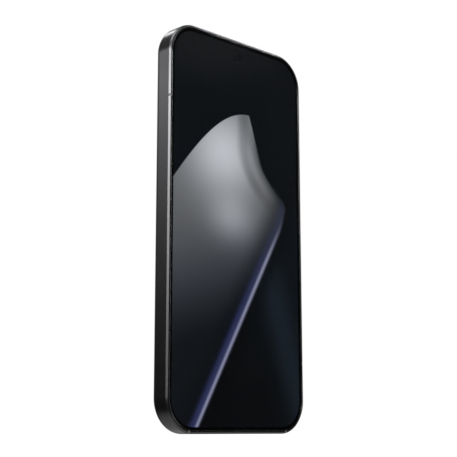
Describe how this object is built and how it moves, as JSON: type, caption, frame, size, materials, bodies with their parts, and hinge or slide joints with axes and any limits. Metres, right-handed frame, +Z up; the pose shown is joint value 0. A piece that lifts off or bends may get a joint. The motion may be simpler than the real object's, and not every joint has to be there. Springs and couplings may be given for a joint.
{
  "type": "smartphone",
  "caption": "Slim black smartphone with flat metal sides, an edge-to-edge display with a punch-hole camera, side keys, a charging socket and a slide-out card tray.",
  "frame": {"origin": "middle of the bounding box at the foot of the phone, which stands upright on its bottom end", "axes": "+Z up along the height, -Y the way the display faces, +X the side with the keys, to the right when seen from the front"},
  "size_m": [0.0716, 0.0104, 0.1523],
  "materials": {
    "dark_metal": "satin anodised, fine bead-blasted grain",
    "insulator": "matte",
    "front_glass": "polished, with a black border behind it",
    "display": "smooth",
    "rear_glass": "satin etched",
    "lens": "polished and coated",
    "flash": "fine moulded ribs",
    "adhesive": "matte foam",
    "board": "solder mask",
    "shield": "tinned sheet",
    "steel": "satin",
    "plastic": "fine moulded texture",
    "flex": "polyimide film",
    "graphite": "graphite film",
    "battery": "foil pouch with a dull wrap",
    "copper": "lacquered copper winding",
    "card": "plain card"
  },
  "bodies": {
    "phone_body": {"mid_frame": "dark_metal", "camera_island": "dark_metal", "antenna_break_left": "insulator", "antenna_break_right_upper": "insulator", "antenna_break_right_lower": "insulator", "antenna_break_bottom_left": "insulator", "antenna_break_bottom_right": "insulator", "cover_glass": "front_glass", "display_panel": "display", "rear_cover": "rear_glass", "lens_glass_main": "lens", "lens_glass_tele": "lens", "lens_glass_wide": "lens", "flash_lens": "flash", "front_gasket": "adhesive", "rear_gasket": "adhesive", "main_board": "board", "sub_board": "board", "processor_shield": "shield", "radio_shield": "shield", "camera_housing_main": "shield", "camera_housing_tele": "shield", "camera_housing_wide": "shield", "haptic_housing": "shield", "usb_shell": "steel", "sim_cage": "steel", "bracket_screw_1": "steel", "bracket_screw_2": "steel", "bracket_screw_3": "steel", "bracket_screw_4": "steel", "power_dome": "steel", "volume_up_dome": "steel", "volume_down_dome": "steel", "speaker_mesh": "steel", "earpiece_mesh": "steel", "fingerprint_sensor": "plastic", "front_camera": "plastic", "earpiece": "plastic", "lens_barrel_wide": "plastic", "top_bracket": "plastic", "usb_tongue": "plastic", "speaker_box": "plastic", "display_flex": "flex", "battery_flex": "flex", "board_flex": "flex", "key_flex": "flex", "heat_spreader": "graphite", "coil_ferrite": "graphite", "battery": "battery", "charging_coil": "copper"},
    "power_key": {"power_key": "dark_metal"},
    "volume_key": {"volume_key": "dark_metal"},
    "sim_tray": {"sim_tray": "dark_metal", "sim_card": "card"},
    "eject_rod": {"eject_rod": "steel"},
    "eject_lever": {"eject_lever": "steel"},
    "main_lens": {"lens_barrel_main": "plastic"},
    "tele_lens": {"lens_barrel_tele": "plastic"},
    "haptic_mass": {"haptic_mass": "steel"},
    "speaker_diaphragm": {"speaker_diaphragm": "plastic"}
  },
  "joints": [
    {"name": "power_key_press", "type": "slide", "parent": "phone_body", "child": "power_key", "axis": [-1, 0, 0], "range_m": [0, 0.00025], "stiffness_N_per_m": 3000},
    {"name": "volume_key_rock", "type": "hinge", "parent": "phone_body", "child": "volume_key", "pos_m": [0.03318, -0.0015, 0.113], "axis": [0, 1, 0], "range_deg": [-1.2, 1.2], "stiffness_Nm_per_rad": 0.5},
    {"name": "sim_tray_slide", "type": "slide", "parent": "phone_body", "child": "sim_tray", "axis": [0, 0, -1], "range_m": [0, 0.018]},
    {"name": "eject_rod_push", "type": "slide", "parent": "phone_body", "child": "eject_rod", "axis": [0, 0, 1], "range_m": [0, 0.0003]},
    {"name": "eject_lever_turn", "type": "hinge", "parent": "phone_body", "child": "eject_lever", "pos_m": [-0.01837, -0.00117, 0.0186], "axis": [0, 1, 0], "range_deg": [0, 4.5]},
    {"name": "main_lens_focus", "type": "slide", "parent": "phone_body", "child": "main_lens", "axis": [0, 1, 0], "range_m": [0, 0.0003], "stiffness_N_per_m": 150},
    {"name": "tele_lens_focus", "type": "slide", "parent": "phone_body", "child": "tele_lens", "axis": [0, 1, 0], "range_m": [0, 0.0003], "stiffness_N_per_m": 150},
    {"name": "haptic_shake", "type": "slide", "parent": "phone_body", "child": "haptic_mass", "axis": [0, 0, 1], "range_m": [-0.00035, 0.00035], "stiffness_N_per_m": 1500},
    {"name": "speaker_stroke", "type": "slide", "parent": "phone_body", "child": "speaker_diaphragm", "axis": [0, 1, 0], "range_m": [-0.0003, 0.0003], "stiffness_N_per_m": 300}
  ],
  "couplings": [
    {"joint": "eject_lever_turn", "follows": "eject_rod_push", "rad_per_m": 256.41}
  ]
}
